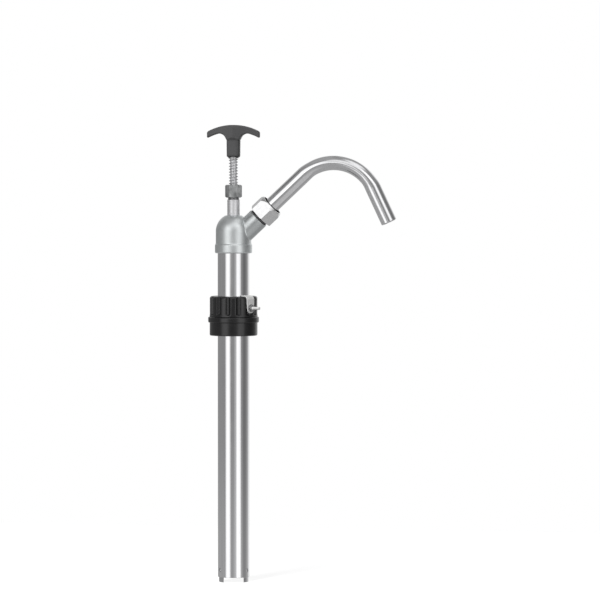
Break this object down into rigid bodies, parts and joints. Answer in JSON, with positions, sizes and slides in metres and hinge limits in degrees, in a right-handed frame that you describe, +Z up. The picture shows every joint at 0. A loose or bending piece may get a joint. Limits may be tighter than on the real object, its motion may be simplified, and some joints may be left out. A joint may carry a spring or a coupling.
{
  "type": "drum pump",
  "caption": "Hand-operated lift pump for drums: T-handle plunger on a buffer spring, domed head with a swivelling goose-neck spout, plain suction tube and a sliding bung adapter.",
  "frame": {"origin": "on the suction tube's axis, in the plane of the adapter flange's underside, where it seats on the drum", "axes": "+Z up along the suction tube, +X the way the spout points, +Y to the left of the spout seen from behind it"},
  "size_m": [0.2294, 0.061, 0.5487],
  "materials": {
    "black_plastic": "moulded, satin black",
    "handle_plastic": "moulded, satin dark grey",
    "grip_plastic": "moulded, matt",
    "white_plastic": "turned, matt white",
    "seal_rubber": "moulded",
    "polished_tube": "bright polished stainless steel",
    "cast_head": "satin cast stainless steel",
    "turned_steel": "turned stainless steel",
    "nut_steel": "milled stainless steel",
    "plated_steel": "bright plated",
    "spring_steel": "drawn wire",
    "brass": "turned"
  },
  "bodies": {
    "adapter": {"bung_body": "black_plastic", "tube_ring": "seal_rubber"},
    "cap": {"clamp_cap": "black_plastic", "earth_lug": "plated_steel", "earth_stud": "plated_steel", "earth_washer": "plated_steel", "earth_nut": "plated_steel"},
    "grip": {"grip_ring": "grip_plastic"},
    "barrel": {"suction_tube": "polished_tube", "pump_head": "cast_head", "head_seal": "seal_rubber", "gland_neck": "turned_steel", "gland_packing": "white_plastic", "gland_follower": "brass", "gland_nut": "nut_steel", "union_nut": "nut_steel", "spout_seal": "white_plastic", "foot_valve_body": "turned_steel", "foot_ring": "seal_rubber", "foot_rivets": "turned_steel", "ball_stop": "turned_steel"},
    "spout": {"spout_tube": "polished_tube", "spout_collar": "turned_steel"},
    "ball": {"valve_ball": "polished_tube"},
    "spring": {"buffer_spring": "spring_steel"},
    "buffer": {"buffer_washer": "plated_steel"},
    "plunger": {"t_handle": "handle_plastic", "piston_rod": "polished_tube", "piston_body": "white_plastic", "piston_cup": "white_plastic", "cup_spreader": "turned_steel", "plate_guide": "turned_steel", "plate_stop": "turned_steel", "plunger_washer": "plated_steel", "plunger_nut": "plated_steel"},
    "plate": {"valve_plate": "white_plastic"}
  },
  "joints": [
    {"name": "clamp_turn", "type": "hinge", "parent": "adapter", "child": "cap", "pos_m": [0, 0, 0.02], "axis": [0, 0, 1], "range_deg": [0, 90]},
    {"name": "barrel_turn", "type": "hinge", "parent": "adapter", "child": "grip", "pos_m": [0, 0, 0.02], "axis": [0, 0, 1], "continuous": true},
    {"name": "barrel_slide", "type": "slide", "parent": "grip", "child": "barrel", "axis": [0, 0, 1], "range_m": [-0.05, 0.2]},
    {"name": "spout_swivel", "type": "hinge", "parent": "barrel", "child": "spout", "pos_m": [0, 0, 0.0965], "axis": [0.7284, 0, 0.6852], "range_deg": [-90, 90]},
    {"name": "handle_turn", "type": "hinge", "parent": "barrel", "child": "spring", "pos_m": [0, 0, 0.18], "axis": [0, 0, 1], "continuous": true},
    {"name": "buffer_press", "type": "slide", "parent": "spring", "child": "buffer", "axis": [0, 0, 1], "range_m": [-0.012, 0], "stiffness_N_per_m": 1500, "springref_m": 0.006, "deforming": ["buffer_spring"]},
    {"name": "stroke", "type": "slide", "parent": "buffer", "child": "plunger", "axis": [0, 0, 1], "range_m": [0, 0.26]},
    {"name": "plate_lift", "type": "slide", "parent": "plunger", "child": "plate", "axis": [0, 0, 1], "range_m": [0, 0.005]},
    {"name": "ball_lift", "type": "slide", "parent": "barrel", "child": "ball", "axis": [0, 0, 1], "range_m": [0, 0.006]}
  ]
}
